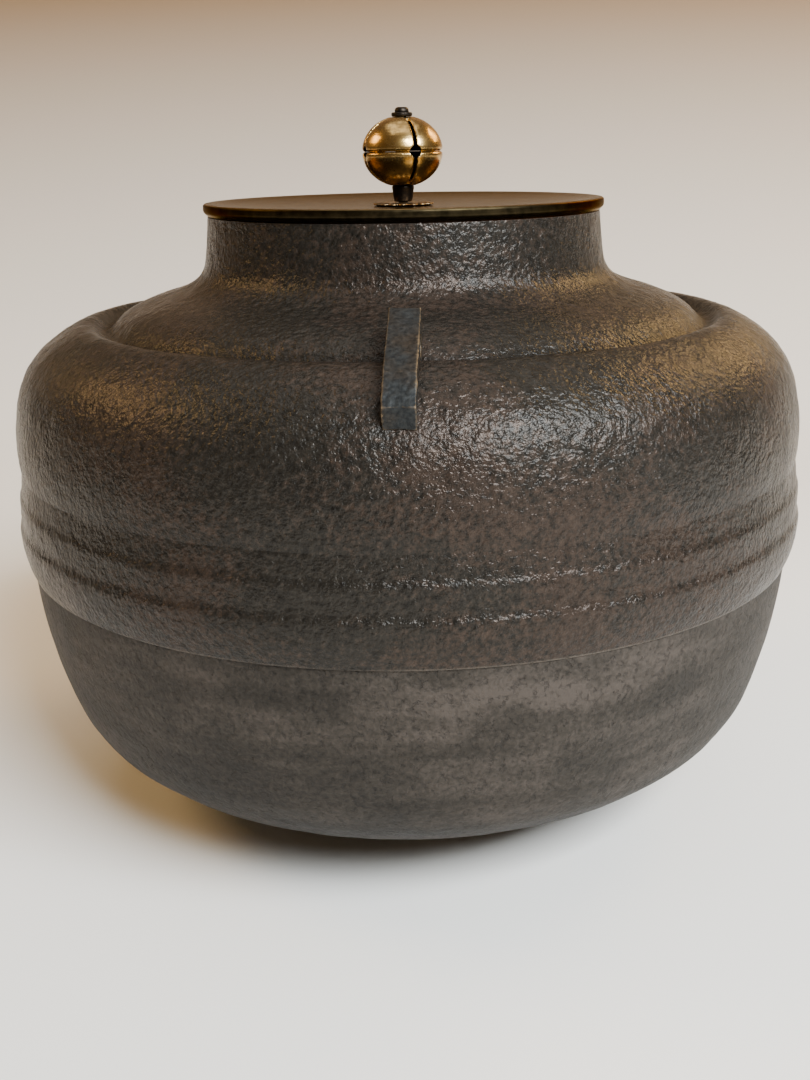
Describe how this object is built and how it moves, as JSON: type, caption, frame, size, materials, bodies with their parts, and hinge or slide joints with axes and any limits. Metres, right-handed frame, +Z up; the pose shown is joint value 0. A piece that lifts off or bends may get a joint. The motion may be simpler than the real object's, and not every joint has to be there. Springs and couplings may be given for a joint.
{
  "type": "tea ceremony kettle",
  "caption": "Wide round iron kettle with banded belt, shoulder groove, lugs with ring eyes, and a flat lift-off lid with a hollow turning knob.",
  "frame": {"origin": "centre of the flat foot, on the surface that the kettle stands on", "axes": "+Z up along the axis that the kettle is turned about; the two lugs stand on -Y (front) and +Y (rear), and their eyes run along X"},
  "size_m": [0.26, 0.26, 0.2259],
  "materials": {
    "kettle_iron": "rough cast skin, lacquered and rubbed to a low sheen",
    "lug_iron": "cast, smoother than the body, worn edges",
    "plate_iron": "thin plain iron, rusted",
    "lacquer": "hard matt lacquer putty",
    "lid_bronze": "dark patinated bronze, polished like a mirror on top",
    "fitting_bronze": "aged bronze",
    "dark_fitting": "blackened copper alloy, low sheen",
    "knob_bronze": "pale gold bronze, worn, brown in the hollows"
  },
  "bodies": {
    "kettle": {"kettle_body": "kettle_iron", "lug_front": "lug_iron", "lug_rear": "lug_iron", "sounding_plate_1": "plate_iron", "sounding_plate_2": "plate_iron", "sounding_plate_3": "plate_iron", "lacquer_bed_1": "lacquer", "lacquer_bed_2": "lacquer", "lacquer_bed_3": "lacquer"},
    "lid": {"lid_plate": "lid_bronze", "lid_flange": "lid_bronze", "under_washer": "fitting_bronze", "knob_seat": "fitting_bronze", "knob_rivet": "dark_fitting", "top_washer": "dark_fitting"},
    "knob": {"knob_spacer": "dark_fitting", "knob_lower_shell": "knob_bronze", "knob_upper_shell": "knob_bronze"}
  },
  "joints": [
    {"name": "lid_lift", "type": "slide", "parent": "kettle", "child": "lid", "axis": [0, 0, 1], "range_m": [0, 0.06]},
    {"name": "knob_turn", "type": "hinge", "parent": "lid", "child": "knob", "pos_m": [0, 0, 0.2124], "axis": [0, 0, 1], "continuous": true}
  ]
}
